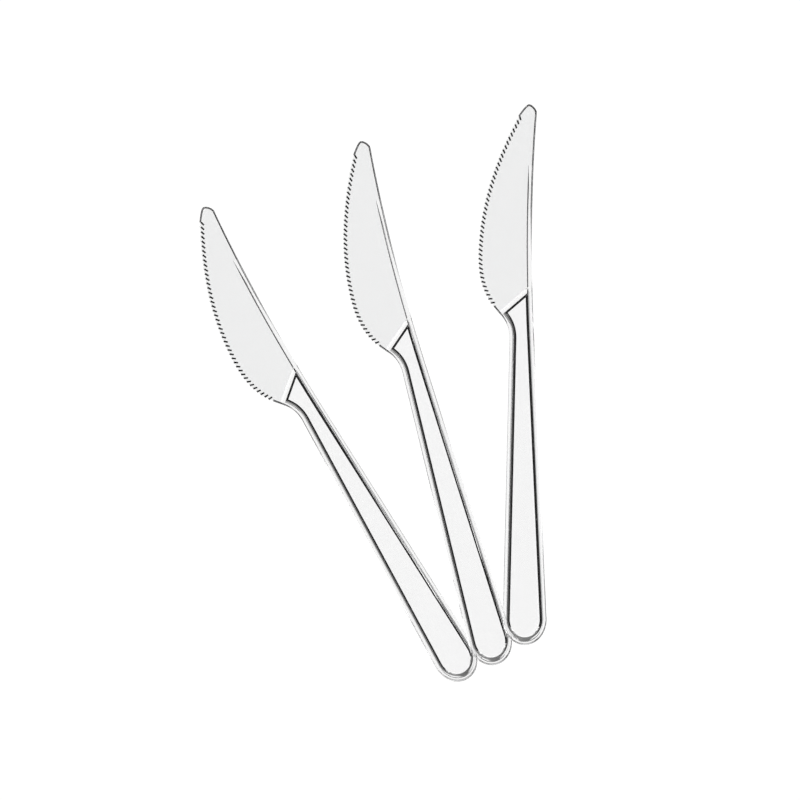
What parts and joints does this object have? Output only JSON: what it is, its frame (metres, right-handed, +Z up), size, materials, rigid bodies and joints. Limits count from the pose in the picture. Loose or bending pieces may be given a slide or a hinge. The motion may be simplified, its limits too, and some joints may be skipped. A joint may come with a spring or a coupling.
{
  "type": "pack of plastic knives",
  "caption": "Clear moulded plastic table knives with serrated edges and ribbed, hollow-backed handles, fanned out on a table.",
  "frame": {"origin": "middle of the fan's bounding box, on the surface that the knives lie on", "axes": "+Z up from the surface, +Y from the handles towards the blades, +X to the side of the topmost knife"},
  "size_m": [0.1218, 0.203, 0.0113],
  "materials": {
    "clear_plastic": "colourless clear moulded polystyrene, glossy, see-through"
  },
  "bodies": {
    "root": {"knife_left": "clear_plastic", "knife_middle": "clear_plastic", "knife_right": "clear_plastic"}
  },
  "joints": []
}
